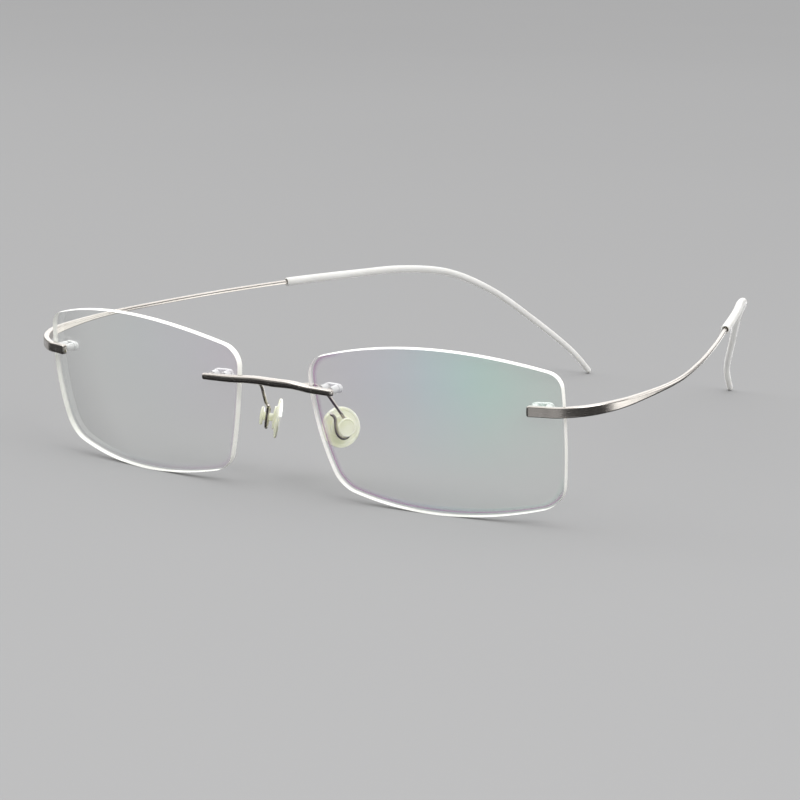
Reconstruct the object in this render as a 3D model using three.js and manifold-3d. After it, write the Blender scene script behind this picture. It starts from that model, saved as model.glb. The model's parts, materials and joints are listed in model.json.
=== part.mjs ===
// Rimless eyeglasses with hingeless flexible titanium temples.
// Millimetres, +Z up. The lenses face -Y, the temples run back along +Y, and +X is the
// wearer's left. The glasses stand unfolded on their lenses and temple tips, and the
// origin is the middle of their footprint, at table level.
import * as THREE from 'three';
import { mergeVertices } from 'three/addons/utils/BufferGeometryUtils.js';
import Module from 'manifold-3d';

const wasm = await Module();
wasm.setup();

// ---------- driving dimensions ----------
const LENS_CENTRE_X = 35.5; // half of the distance between the two lens centres
const LENS_CENTRE_Z = 15.93; // height of a lens centre above the table
const LENS_WRAP = 0.118; // radians, the temporal side goes back
const LENS_TILT = 0.16; // radians, the bottom goes back
const LENS_RADIUS = 85.5; // front surface's radius of curvature
const LENS_THICKNESS = 1.4;
const LENS_SIDES = [ // corner (towards the temple, up), bulge of the side after it, corner trim
  { corner: [-27.0, 10.4], bulge: 4.6, trim: 3.3 }, // top, nose side
  { corner: [25.7, 11.9], bulge: 0.9, trim: 2.3 }, // top, temple side
  { corner: [24.7, -13.0], bulge: 2.9, trim: 3.7 }, // bottom, temple side
  { corner: [-21.4, -13.95], bulge: 1.2, trim: 3.1 }, // bottom, nose side
];
const CORNER_TENSION = 0.58;

const NASAL_MOUNT = { u: -22.5, v: 5.4 }; // middle of the bridge's two pins, on the lens
const TEMPORAL_MOUNT = { u: 22.2, v: 5.8 }; // middle of the temple's two pins, on the lens
const PIN_SPACING = 2.5;
const PIN_RADIUS = 0.36;
const PIN_BACK = 2.5; // how far the pins reach behind the lens's front surface
const BUSHING_BORE_RADIUS = 0.5;
const PLUG_RADIUS = 0.78;
const LENS_HOLE_RADIUS = 0.92;
const BUSHING_LENGTH = 4.3;
const BUSHING_HEIGHT = 1.75;
const BUSHING_DEPTH = 1.1;
const FIT_GAP = 0.3; // between pieces that rest on each other

const BRIDGE_MIDDLE = [[0, 0.35, 21.72], [4.5, 0.25, 21.78]]; // centre line between the lenses
const BRIDGE_OVERLAP = 2.7; // beyond the mount's middle, over the lens
const BRIDGE_INBOARD = 3.0; // straight length on the nose side of the mount's middle
const BRIDGE_SECTIONS = [ // along half the bridge: share of the length, depth, height
  [0.0, 1.6, 1.65],
  [0.3, 1.6, 1.5],
  [0.6, 1.4, 1.45],
  [0.94, 1.15, 1.3],
  [1.0, 0.95, 1.05],
];

const ROUND_CORNER = 0.293; // the corner cut that makes a regular octagon
const TEMPLE_ROUTE = [ // centre line of the left temple, from over the lens to the tip's end
  [55.3, 3.2, 22.05],
  [58.0, 4.13, 22.05],
  [60.7, 5.06, 22.05],
  [64.9, 8.4, 22.4],
  [67.9, 13.6, 23.0],
  [69.1, 22.3, 23.7],
  [68.7, 33.5, 24.4],
  [65.7, 46.4, 25.2],
  [60.9, 61.0, 26.1],
  [54.7, 76.8, 26.9],
  [48.5, 91.9, 27.3],
  [43.1, 103.7, 27.4],
  [37.9, 114.4, 25.7],
  [32.1, 122.8, 21.1],
  [26.4, 130.9, 14.1],
  [20.5, 139.3, 5.7],
  [18.7, 144.3, 0.24],
];
const TEMPLE_SECTIONS = [ // distance along the route, thickness, height, corner
  [0, 1.0, 1.7, 0.2],
  [0.35, 1.2, 2.0, 0.18],
  [14, 1.2, 1.95, 0.18],
  [20, 1.15, 1.65, 0.2],
  [26, 1.05, 1.3, 0.25],
  [33, 0.95, 1.0, 0.28],
  [43, 0.88, 0.9, ROUND_CORNER],
  [58, 0.88, 0.88, ROUND_CORNER],
  [150, 0.8, 0.8, ROUND_CORNER],
];
const FLEX_AT = 33; // distance along the route at which the temple's bending is hinged
const FLEX_GAP = 0.34;
const TIP_SLEEVE_AT = 81.8; // distance along the route at which the silicone sleeve begins
const CORE_SHORT = 9; // the wire ends this far short of the sleeve's end
const SLEEVE_CLEARANCE = 0.12;
const SLEEVE_SECTIONS = [ // distance along the route, diameter
  [81.8, 1.7],
  [82.2, 1.85],
  [95, 1.75],
  [140, 1.5],
  [166, 1.35],
];

const PAD_CENTRE = [7.3, 11.7, 12.1]; // middle of the pad's face towards the nose
const PAD_NORMAL = [-0.842, 0.517, -0.155]; // out of that face
const PAD_PROFILE = [ // radius, position along the normal
  [0, 0.14],
  [2.4, 0.08],
  [3.5, -0.08],
  [3.95, -0.3],
  [3.95, -0.52],
  [3.6, -0.68],
  [2.0, -0.72],
  [2.0, -0.88],
  [2.3, -0.92],
  [2.3, -1.25],
  [0.75, -1.3],
  [0.75, -3.25],
  [1.7, -3.25],
  [1.88, -3.4],
  [1.8, -3.72],
  [1.2, -3.88],
  [0, -3.9],
];
const HOOK_PLANE = -2.4; // the wire lies round the pad's neck at this place on the normal
const PAD_WIRE_RADIUS = 0.33;
const PAD_ARM_ROUTE = [ // from the back of the bridge towards the pad
  [4.6, 1.62, 22.1],
  [5.9, 2.15, 22.15],
  [7.1, 3.3, 21.8],
  [7.75, 5.1, 20.8],
  [8.05, 6.95, 19.15],
  [8.6, 8.4, 17.1],
  [9.05, 9.65, 15.3],
];
const PAD_HOOK = [ // in the pad's plane round the neck: towards the back, up
  [-0.05, 1.85],
  [0.8, 1.3],
  [1.3, 0.3],
  [1.25, -0.8],
  [0.65, -1.7],
  [-0.28, -2.1],
  [-1.1, -1.74],
  [-1.62, -1.0],
  [-1.8, -0.1],
  [-1.8, 0.9],
  [-1.85, 1.8],
  [-2.25, 2.45],
  [-2.8, 2.8],
];

const MATERIALS = {
  titanium: { color: 0x9c9a96, roughness: 0.3, metalness: 1.0 },
  lens: { color: 0xe6e8ec, roughness: 0.05, metalness: 0.0, transparent: true, opacity: 0.2 },
  bushing: { color: 0xf4f6f6, roughness: 0.1, metalness: 0.0, transparent: true, opacity: 0.6 },
  silicone: { color: 0xe4e2da, roughness: 0.4, metalness: 0.0 },
  pad: { color: 0xe2e6c8, roughness: 0.25, metalness: 0.0 },
};

// ---------- geometry helpers ----------
const UP = new THREE.Vector3(0, 0, 1);
const MIRROR = new THREE.Matrix4().makeScale(-1, 1, 1);
const vector = (xyz) => new THREE.Vector3(...xyz);

// Reads a table of [place, value, value ...] rows at any place, straight between rows.
function tableAt(rows, place) {
  const last = rows.length - 1;
  const after = rows.findIndex((row) => row[0] >= place);
  if (after === 0) return rows[0].slice(1);
  if (after < 0) return rows[last].slice(1);
  const [a, b] = [rows[after - 1], rows[after]];
  const share = (place - a[0]) / (b[0] - a[0]);
  return a.slice(1).map((value, i) => THREE.MathUtils.lerp(value, b[i + 1], share));
}

// A closed skin over rings of points, each with the same number of points.
function loft(rings) {
  const count = rings[0].length;
  const middle = (ring) => ring.reduce((sum, p) => sum.add(p), new THREE.Vector3()).divideScalar(count);
  const points = [...rings.flat(), middle(rings[0]), middle(rings.at(-1))];
  const [firstCap, lastCap] = [points.length - 2, points.length - 1];
  const lastRing = (rings.length - 1) * count;
  const index = [];
  for (let i = 0; i < count; i++) {
    const j = (i + 1) % count;
    for (let ring = 0; ring < lastRing; ring += count) {
      index.push(ring + i, ring + count + j, ring + j);
      index.push(ring + i, ring + count + i, ring + count + j);
    }
    index.push(firstCap, i, j);
    index.push(lastCap, lastRing + j, lastRing + i);
  }
  const geometry = new THREE.BufferGeometry().setFromPoints(points);
  geometry.setIndex(index);
  return geometry;
}

// A rectangle with cut corners across a curve: width is level, height is upright, and corner
// is the cut as a share of the smaller of the two.
function sectionRing(curve, distance, width, height, corner = ROUND_CORNER) {
  const share = THREE.MathUtils.clamp(distance / curve.getLength(), 0, 1);
  const along = curve.getTangentAt(share);
  const across = new THREE.Vector3().crossVectors(along, UP).normalize();
  const upright = new THREE.Vector3().crossVectors(across, along);
  const radius = corner * Math.min(width, height);
  const ring = [];
  for (let quarter = 0; quarter < 4; quarter++) {
    const signA = quarter === 0 || quarter === 3 ? 1 : -1;
    const signB = quarter < 2 ? 1 : -1;
    for (let step = 0; step < 2; step++) {
      const angle = (quarter + step) * (Math.PI / 2);
      const a = signA * (width / 2 - radius) + radius * Math.cos(angle);
      const b = signB * (height / 2 - radius) + radius * Math.sin(angle);
      ring.push(curve.getPointAt(share).addScaledVector(across, a).addScaledVector(upright, b));
    }
  }
  return ring;
}

// The bar along a curve between two distances, its section read from a table.
function sweep(curve, table, from, to, step) {
  const knots = table.map((row) => row[0]).filter((d) => d > from && d < to);
  const count = Math.max(1, Math.round((to - from) / step));
  const even = Array.from({ length: count + 1 }, (_, i) => from + ((to - from) * i) / count);
  const clear = even.filter((d) => knots.every((k) => Math.abs(d - k) > 0.3 * step));
  const places = [...new Set([from, to, ...clear, ...knots])].sort((a, b) => a - b);
  return places.map((d) => sectionRing(curve, d, ...tableAt(table, d)));
}

function mirrored(geometry) {
  const copy = geometry.clone().applyMatrix4(MIRROR);
  const index = copy.index.array;
  for (let i = 0; i < index.length; i += 3) {
    [index[i], index[i + 1]] = [index[i + 1], index[i]];
  }
  return copy;
}

function toSolid(geometry) {
  const bare = geometry.clone();
  bare.deleteAttribute('normal');
  bare.deleteAttribute('uv');
  const merged = mergeVertices(bare, 1e-4);
  const vertProperties = new Float32Array(merged.attributes.position.array);
  const triVerts = new Uint32Array(merged.index.array);
  return new wasm.Manifold(new wasm.Mesh({ numProp: 3, vertProperties, triVerts }));
}

function toGeometry(solid) {
  const { vertProperties, triVerts } = solid.getMesh();
  const geometry = new THREE.BufferGeometry();
  geometry.setAttribute('position', new THREE.BufferAttribute(vertProperties, 3));
  geometry.setIndex(new THREE.BufferAttribute(triVerts, 1));
  return geometry;
}

// A cylinder along Y from one place to another, at a place along X.
function rodAlongY(radius, from, to, x = 0) {
  const rod = new THREE.CylinderGeometry(radius, radius, to - from, 14);
  return rod.translate(x, (from + to) / 2, 0);
}

// ---------- lens ----------
const sag = (radius) => (radius * radius) / (2 * LENS_RADIUS);
const LENS_POSE = new THREE.Matrix4()
  .makeTranslation(LENS_CENTRE_X, 0, LENS_CENTRE_Z)
  .multiply(new THREE.Matrix4().makeRotationZ(LENS_WRAP))
  .multiply(new THREE.Matrix4().makeRotationX(LENS_TILT));

// Four bowed sides joined by soft corners.
function lensOutline() {
  const corners = LENS_SIDES.map((side) => new THREE.Vector2(...side.corner));
  const sides = LENS_SIDES.map((side, i) => {
    const [from, to] = [corners[i], corners[(i + 1) % 4]];
    const chord = to.clone().sub(from);
    const outward = new THREE.Vector2(-chord.y, chord.x).normalize();
    const control = from.clone().add(to).divideScalar(2).addScaledVector(outward, 2 * side.bulge);
    const curve = new THREE.QuadraticBezierCurve(from, control, to);
    const start = side.trim / chord.length();
    const end = 1 - LENS_SIDES[(i + 1) % 4].trim / chord.length();
    return { curve, start, end };
  });
  const points = [];
  sides.forEach(({ curve, start, end }, i) => {
    const next = sides[(i + 1) % 4];
    for (let k = 0; k < 12; k++) points.push(curve.getPoint(start + ((end - start) * k) / 12));
    const [a, b] = [curve.getPoint(end), next.curve.getPoint(next.start)];
    const [ta, tb] = [curve.getTangent(end), next.curve.getTangent(next.start)];
    const reach = b.clone().sub(a).cross(tb) / ta.cross(tb);
    const back = b.clone().sub(a).cross(ta) / ta.cross(tb);
    const handleA = a.clone().addScaledVector(ta, reach * CORNER_TENSION);
    const handleB = b.clone().addScaledVector(tb, back * CORNER_TENSION);
    const bend = new THREE.CubicBezierCurve(a, handleA, handleB, b);
    for (let k = 0; k < 7; k++) points.push(bend.getPoint(k / 7));
  });
  return new THREE.Shape(points);
}

// Front of the lens at a mount, as a frame: X along the bar, Y into the lens, Z up the lens.
function mountPose({ u, v }) {
  const normal = new THREE.Vector3(u / LENS_RADIUS, -1, v / LENS_RADIUS);
  normal.transformDirection(LENS_POSE);
  const point = new THREE.Vector3(u, sag(Math.hypot(u, v)), v).applyMatrix4(LENS_POSE);
  const along = new THREE.Vector3().crossVectors(UP, normal).normalize();
  const upright = new THREE.Vector3().crossVectors(normal, along);
  const pose = new THREE.Matrix4().makeBasis(along, normal.negate(), upright);
  return pose.setPosition(point);
}

const PIN_PLACES = [-PIN_SPACING / 2, PIN_SPACING / 2];

function lensSolid(mountPoses) {
  const rim = 31;
  const rings = 7;
  const front = Array.from({ length: rings + 1 }, (_, i) => {
    const radius = (rim * i) / rings;
    return new THREE.Vector2(radius, sag(radius));
  });
  const back = front.map((p) => new THREE.Vector2(p.x, p.y + LENS_THICKNESS)).reverse();
  const dome = toSolid(new THREE.LatheGeometry([...front, ...back], 40));
  const prism = new THREE.ExtrudeGeometry(lensOutline(), { depth: 30, bevelEnabled: false });
  prism.rotateX(Math.PI / 2).translate(0, 15, 0);
  let lens = dome.intersect(toSolid(prism));
  const toLens = LENS_POSE.clone().invert();
  for (const pose of mountPoses) {
    for (const x of PIN_PLACES) {
      const drill = rodAlongY(LENS_HOLE_RADIUS, -2, 4, x);
      drill.applyMatrix4(pose).applyMatrix4(toLens);
      lens = lens.subtract(toSolid(drill));
    }
  }
  return toGeometry(lens);
}

// ---------- compression bushing: a plate behind the lens and two tubes through it ----------
function bushingSolid() {
  const half = BUSHING_LENGTH / 2 - BUSHING_HEIGHT / 2;
  const shape = new THREE.Shape();
  shape.absarc(half, 0, BUSHING_HEIGHT / 2, -Math.PI / 2, Math.PI / 2);
  shape.absarc(-half, 0, BUSHING_HEIGHT / 2, Math.PI / 2, Math.PI * 1.5);
  const plate = new THREE.ExtrudeGeometry(shape, {
    depth: BUSHING_DEPTH, bevelEnabled: false, curveSegments: 6,
  });
  const behind = LENS_THICKNESS + FIT_GAP;
  plate.rotateX(Math.PI / 2).translate(0, behind + BUSHING_DEPTH, 0);
  let bushing = toSolid(plate);
  for (const x of PIN_PLACES) {
    bushing = bushing.add(toSolid(rodAlongY(PLUG_RADIUS, 0.1, behind + 0.2, x)));
  }
  for (const x of PIN_PLACES) {
    const bore = rodAlongY(BUSHING_BORE_RADIUS, -1, behind + BUSHING_DEPTH + 1, x);
    bushing = bushing.subtract(toSolid(bore));
  }
  return toGeometry(bushing);
}

// ---------- bridge ----------
function bridgeBar(nasalPose) {
  const clearOfLens = -(FIT_GAP + tableAt(BRIDGE_SECTIONS, 0.85)[0] / 2);
  const onMount = (x) => new THREE.Vector3(x, clearOfLens, 0).applyMatrix4(nasalPose);
  const right = [onMount(-BRIDGE_INBOARD), onMount(0), onMount(BRIDGE_OVERLAP)];
  const half = [...BRIDGE_MIDDLE.map(vector), ...right];
  const other = half.slice(1).map((p) => p.clone().setX(-p.x)).reverse();
  const curve = new THREE.CatmullRomCurve3([...other, ...half], false, 'centripetal');
  const length = curve.getLength();
  const steps = 30;
  const rings = [];
  for (let i = 0; i <= steps; i++) {
    const share = i / steps;
    const [depth, height] = tableAt(BRIDGE_SECTIONS, Math.abs(2 * share - 1));
    rings.push(sectionRing(curve, share * length, depth, height));
  }
  return loft(rings);
}

// ---------- temple ----------
function templeCurve() {
  return new THREE.CatmullRomCurve3(TEMPLE_ROUTE.map(vector), false, 'centripetal');
}

function templeParts() {
  const curve = templeCurve();
  curve.arcLengthDivisions = 800;
  const length = curve.getLength();
  const bar = sweep(curve, TEMPLE_SECTIONS, 0, FLEX_AT - FLEX_GAP / 2, 2.2);
  const coreEnd = length - CORE_SHORT;
  const arm = sweep(curve, TEMPLE_SECTIONS, FLEX_AT + FLEX_GAP / 2, coreEnd, 4.5);
  const boreAt = (d) => {
    const [thickness, height, corner] = tableAt(TEMPLE_SECTIONS, d);
    const room = 2 * SLEEVE_CLEARANCE;
    return sectionRing(curve, d, thickness + room, height + room, corner);
  };
  const sleeveStep = 4.2;
  const boreEnd = coreEnd + 0.5;
  const boreCount = Math.round((boreEnd - TIP_SLEEVE_AT) / sleeveStep);
  const bore = Array.from({ length: boreCount + 1 }, (_, i) => {
    return boreAt(boreEnd - ((boreEnd - TIP_SLEEVE_AT) * i) / boreCount);
  });
  const round = SLEEVE_SECTIONS.map(([d, diameter]) => [d, diameter, diameter]);
  const endDiameter = SLEEVE_SECTIONS.at(-1)[1];
  const nose = length - endDiameter * 0.4;
  const skin = sweep(curve, round, TIP_SLEEVE_AT, nose, sleeveStep);
  const cap = [[0.2, 0.88], [0.4, 0.5]].map(([ahead, share]) => {
    const diameter = endDiameter * share;
    return sectionRing(curve, nose + endDiameter * ahead, diameter, diameter);
  });
  return { bar: loft(bar), arm: loft(arm), tip: loft([...bore, ...skin, ...cap]) };
}

// ---------- nose pad and its wire ----------
const padAxis = vector(PAD_NORMAL).normalize();
const padUp = UP.clone().addScaledVector(padAxis, -UP.dot(padAxis)).normalize();
const padBack = new THREE.Vector3().crossVectors(padAxis, padUp);

function padSolid() {
  const profile = PAD_PROFILE.map(([radius, along]) => new THREE.Vector2(radius, along));
  const pad = new THREE.LatheGeometry(profile.reverse(), 22);
  const pose = new THREE.Matrix4().makeBasis(padBack, padAxis, padUp);
  return pad.applyMatrix4(pose.setPosition(vector(PAD_CENTRE)));
}

function padArm() {
  const neck = vector(PAD_CENTRE).addScaledVector(padAxis, HOOK_PLANE);
  const hook = PAD_HOOK.map(([back, up]) => {
    return neck.clone().addScaledVector(padBack, back).addScaledVector(padUp, up);
  });
  const route = [...PAD_ARM_ROUTE.map(vector), ...hook];
  const curve = new THREE.CatmullRomCurve3(route, false, 'centripetal');
  const shape = new THREE.Shape();
  shape.absarc(0, 0, PAD_WIRE_RADIUS, 0, Math.PI * 2);
  return new THREE.ExtrudeGeometry(shape, { steps: 42, extrudePath: curve, curveSegments: 4 });
}

// ---------- assembly ----------
const glasses = new THREE.Group();

function addMesh(name, geometry, pose, material) {
  const mesh = new THREE.Mesh(geometry, new THREE.MeshStandardMaterial(MATERIALS[material]));
  mesh.name = name;
  mesh.applyMatrix4(pose);
  glasses.add(mesh);
}

// Adds a piece on the wearer's left, and its mirror image on the right.
function addPair(name, geometry, pose, material) {
  const mirroredPose = MIRROR.clone().multiply(pose).multiply(MIRROR);
  const merged = geometry.index ? geometry : mergeVertices(geometry);
  addMesh(name.replace('SIDE', 'left'), merged, pose, material);
  addMesh(name.replace('SIDE', 'right'), mirrored(merged), mirroredPose, material);
}

const PLACE = new THREE.Matrix4(); // pieces already in the glasses' own frame
const nasal = mountPose(NASAL_MOUNT);
const temporal = mountPose(TEMPORAL_MOUNT);

addPair('lens_SIDE', lensSolid([nasal, temporal]), LENS_POSE, 'lens');
addMesh('bridge_bar', bridgeBar(nasal), PLACE, 'titanium');
for (const [mount, pose] of [['bridge', nasal], ['temple', temporal]]) {
  addPair(`${mount}_bushing_SIDE`, bushingSolid(), pose, 'bushing');
  for (const [i, x] of PIN_PLACES.entries()) {
    const pin = rodAlongY(PIN_RADIUS, -FIT_GAP / 3, PIN_BACK, x);
    addPair(`${mount}_pin_SIDE_${i + 1}`, pin, pose, 'titanium');
  }
}

const temple = templeParts();
addPair('temple_bar_SIDE', temple.bar, PLACE, 'titanium');
addPair('temple_arm_SIDE', temple.arm, PLACE, 'titanium');
addPair('temple_tip_SIDE', temple.tip, PLACE, 'silicone');
addPair('pad_arm_SIDE', padArm(), PLACE, 'titanium');
addPair('nose_pad_SIDE', padSolid(), PLACE, 'pad');

// The origin goes to the middle of the footprint, at the lowest point.
glasses.updateMatrixWorld(true);
const extent = new THREE.Box3().setFromObject(glasses, true);
glasses.position.set(0, -(extent.min.y + extent.max.y) / 2, -extent.min.z);

export default glasses;
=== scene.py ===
"""Rimless eyeglasses with hingeless titanium temples, standing open on a pale studio floor.

Design lengths are millimetres in the glasses' own frame: the lenses face -Y, the temples run
back along +Y, +X is the wearer's left and the table is at Z 0. place() turns them into metres
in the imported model's frame.
"""
import json
import math

import bpy
from mathutils import Euler, Matrix, Vector


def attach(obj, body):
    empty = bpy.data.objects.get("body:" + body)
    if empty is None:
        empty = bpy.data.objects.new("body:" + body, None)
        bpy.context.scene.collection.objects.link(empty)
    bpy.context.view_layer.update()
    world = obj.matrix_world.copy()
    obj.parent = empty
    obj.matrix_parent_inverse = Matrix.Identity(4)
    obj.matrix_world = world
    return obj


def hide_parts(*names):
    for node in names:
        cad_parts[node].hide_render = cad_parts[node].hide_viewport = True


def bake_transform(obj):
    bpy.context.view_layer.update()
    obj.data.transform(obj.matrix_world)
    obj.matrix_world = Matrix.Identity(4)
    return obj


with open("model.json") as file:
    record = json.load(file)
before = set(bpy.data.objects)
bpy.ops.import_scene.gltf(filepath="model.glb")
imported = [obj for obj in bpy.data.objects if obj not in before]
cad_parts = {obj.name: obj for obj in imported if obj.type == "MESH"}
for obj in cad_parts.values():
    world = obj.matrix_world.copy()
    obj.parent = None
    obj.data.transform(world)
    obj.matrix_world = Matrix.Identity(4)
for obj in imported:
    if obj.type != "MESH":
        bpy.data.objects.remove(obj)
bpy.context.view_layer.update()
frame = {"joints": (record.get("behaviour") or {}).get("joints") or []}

MM = 0.001
SIDES = {"left": 1, "right": -1}
UP = Vector((0, 0, 1))

# ---------- the design's dimensions ----------
LENS_CENTRE = (35.5, 0, 15.93)
LENS_WRAP = 0.118
LENS_TILT = 0.16
LENS_RADIUS = 85.5
LENS_THICKNESS = 1.4
LENS_BEVEL = 0.07
# The sides of the lens and most of the temple's route were fitted to the photo's outlines.
LENS_SIDES = [  # corner (towards the temple, up), bulge of the side after it, corner trim
    ((-27.0, 10.4), 4.6, 3.3),
    ((25.7, 11.9), 0.9, 2.3),
    ((24.7, -13.0), 2.9, 3.7),
    ((-21.4, -13.95), 1.2, 3.1),
]
CORNER_TENSION = 0.58

NASAL_MOUNT = (-22.5, 5.4)
TEMPORAL_MOUNT = (22.2, 5.8)
PIN_PLACES = (-1.25, 1.25)
PIN_RADIUS = 0.36
PIN_BACK = 2.5
PIN_SHOULDER_RADIUS = 0.6
PIN_TIP_ROUNDING = 0.16
LENS_HOLE_RADIUS = 0.92
PLUG_RADIUS = 0.78
BORE_RADIUS = 0.5
BUSHING_LENGTH = 4.3
BUSHING_HEIGHT = 1.75
BUSHING_DEPTH = 1.1
BUSHING_CHAMFER = 0.12
TUBE_START = 0.1
FIT_GAP = 0.3

BRIDGE_MIDDLE = [(0, 0.35, 21.72), (4.5, 0.25, 21.78)]
BRIDGE_OVERLAP = 2.7
BRIDGE_INBOARD = 3.0
BRIDGE_MOUNT_SHARE = 0.85  # of half the length: the depth there sets the gap to the lens
BRIDGE_END_ROUNDING = 0.25
BRIDGE_SECTIONS = [  # share of half the length, depth, height
    (0.0, 1.6, 1.65),
    (0.3, 1.6, 1.5),
    (0.6, 1.4, 1.45),
    (0.94, 1.15, 1.3),
    (1.0, 1.1, 1.2),
]

TEMPLE_ROUTE = [  # centre line, from over the lens to the tip's end
    (55.3, 3.2, 22.05), (58.0, 4.13, 22.05), (60.7, 5.06, 22.05), (64.9, 8.4, 22.4),
    (67.9, 13.6, 23.0), (69.1, 22.3, 23.7), (68.7, 33.5, 24.4), (65.7, 46.4, 25.2),
    (60.9, 61.0, 26.1), (54.7, 76.8, 26.9), (48.5, 91.9, 27.3), (43.1, 103.7, 27.4),
    (37.9, 114.4, 25.7), (32.1, 122.8, 21.1), (26.4, 130.9, 14.1), (20.5, 139.3, 5.7),
    (18.7, 144.3, 0.24),
]
TEMPLE_SECTIONS = [  # distance along the route, thickness, height, corner radius
    (0, 1.2, 2.0, 0.25),
    (14, 1.2, 1.95, 0.28),
    (20, 1.15, 1.65, 0.34),
    (26, 1.05, 1.3, 0.42),
    (33, 0.95, 1.0, 0.45),
    (43, 0.88, 0.9, 0.44),
    (58, 0.88, 0.88, 0.44),
    (150, 0.8, 0.8, 0.4),
    (200, 0.8, 0.8, 0.4),
]
BAR_END_ROUNDING = 0.42
FINE_UNTIL = 45  # sections are close together from the bar's end to here
FLEX_AT = 33
SLEEVE_AT = 81.8
CORE_SHORT = 9
CORE_END_GAP = 0.5
SLEEVE_CLEARANCE = 0.12
SLEEVE_SECTIONS = [(81.8, 1.85), (95, 1.75), (140, 1.5), (166, 1.35), (200, 1.35)]
SLEEVE_MOUTH = [(0.25, 0.03), (0.05, 0.1)]  # distance from the start, how far outside the bore
SLEEVE_RIM = [(0.03, 0.12), (0.1, 0.04)]  # distance from the start, how far inside the skin
SLEEVE_LIP = 0.22
SLEEVE_END_ROUNDING = 0.7

PAD_CENTRE = (7.3, 11.7, 12.1)
PAD_NORMAL = (-0.842, 0.517, -0.155)
PAD_PROFILE = [  # radius, place along the normal, how far the corner's rounding reaches
    (2.4, 0.09, 0.5),
    (3.5, -0.06, 0.3),
    (3.95, -0.26, 0.16),
    (3.95, -0.52, 0.12),
    (3.7, -0.66, 0.08),
    (3.42, -0.66, 0.08),
    (3.3, -0.5, 0.06),
    (2.2, -0.5, 0.1),
    (2.05, -0.88, 0.08),
    (2.3, -0.92, 0.1),
    (2.28, -1.23, 0.12),
    (0.78, -1.3, 0.2),
    (0.78, -3.2, 0.2),
    (1.6, -3.24, 0.14),
    (1.88, -3.44, 0.14),
    (1.74, -3.8, 0.1),
    (1.5, -3.82, 0.05),
    (1.4, -3.72, 0.05),
]
PAD_FRONT = 0.14
PAD_BACK = -3.8
HOOK_PLANE = -2.4
PAD_WIRE_RADIUS = 0.33
PAD_ARM_ROUTE = [  # from the back of the bridge towards the pad
    (4.6, 0.95, 21.5), (5.9, 1.95, 21.7), (7.1, 3.3, 21.6), (7.75, 5.1, 20.75),
    (8.05, 6.95, 19.15), (8.6, 8.4, 17.1), (9.05, 9.65, 15.3),
]
PAD_HOOK = [  # in the pad's plane round the neck: towards the back, up
    (-0.05, 1.85), (0.8, 1.3), (1.3, 0.3), (1.25, -0.8), (0.65, -1.7), (-0.28, -2.1),
    (-1.1, -1.74), (-1.62, -1.0), (-1.8, -0.1), (-1.8, 0.9), (-1.85, 1.8), (-2.25, 2.45),
    (-2.8, 2.8),
]


# ---------- curves ----------
class Route:
    """A centripetal Catmull-Rom curve, read by the distance along it."""

    STEPS = 80

    def __init__(self, points):
        points = [Vector(p) for p in points]
        first = 2 * points[0] - points[1]
        last = 2 * points[-1] - points[-2]
        padded = [first, *points, last]
        self.cubics = [self.cubic(*padded[i:i + 4]) for i in range(len(points) - 1)]
        self.lengths = [0.0]
        previous = points[0]
        for step in range(1, len(self.cubics) * self.STEPS + 1):
            here = self.point(step / self.STEPS)
            self.lengths.append(self.lengths[-1] + (here - previous).length)
            previous = here
        self.length = self.lengths[-1]

    @staticmethod
    def cubic(p0, p1, p2, p3):
        t0, t1, t2 = [(b - a).length ** 0.5 for a, b in ((p0, p1), (p1, p2), (p2, p3))]
        start = ((p1 - p0) / t0 - (p2 - p0) / (t0 + t1) + (p2 - p1) / t1) * t1
        end = ((p2 - p1) / t1 - (p3 - p1) / (t1 + t2) + (p3 - p2) / t2) * t1
        return p1, start, 3 * (p2 - p1) - 2 * start - end, 2 * (p1 - p2) + start + end

    def segment(self, place):
        index = min(int(place), len(self.cubics) - 1)
        return self.cubics[index], place - index

    def point(self, place):
        (a, b, c, d), t = self.segment(place)
        return a + t * (b + t * (c + t * d))

    def at(self, distance):
        """The point and the direction at a distance along the curve."""
        low, high = 0, len(self.lengths) - 1
        while high - low > 1:
            middle = (low + high) // 2
            if self.lengths[middle] <= distance:
                low = middle
            else:
                high = middle
        span = self.lengths[high] - self.lengths[low]
        place = (low + (distance - self.lengths[low]) / span) / self.STEPS
        (_, b, c, d), t = self.segment(place)
        return self.point(place), (b + t * (2 * c + 3 * t * d)).normalized()


def table_at(rows, place):
    """A row of a table of (place, value, value ...), straight between rows."""
    if place <= rows[0][0]:
        return list(rows[0][1:])
    for low, high in zip(rows, rows[1:]):
        if place <= high[0]:
            share = (place - low[0]) / (high[0] - low[0])
            return [a + share * (b - a) for a, b in zip(low[1:], high[1:])]
    return list(rows[-1][1:])


def smooth_table_at(rows, place, reach):
    """The same row with the kinks at the table's own places eased over a reach."""
    near = [table_at(rows, place + reach * k / 4) for k in range(-4, 5)]
    return [sum(values) / len(near) for values in zip(*near)]


def evenly(start, end, step):
    count = max(1, math.ceil((end - start) / step))
    return [start + (end - start) * i / count for i in range(count + 1)]


temple_route = Route(TEMPLE_ROUTE)
flex_joint = next(j for j in frame["joints"] if j["name"] == "temple_flex_left")
FLEX_PLACE = Vector(flex_joint["pos_m"])
DESIGN_ORIGIN = FLEX_PLACE - MM * temple_route.at(FLEX_AT)[0]


def place(point, side=1):
    """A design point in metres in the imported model's frame, mirrored for the right side."""
    x, y, z = point
    return DESIGN_ORIGIN + MM * Vector((side * x, y, z))


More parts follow.
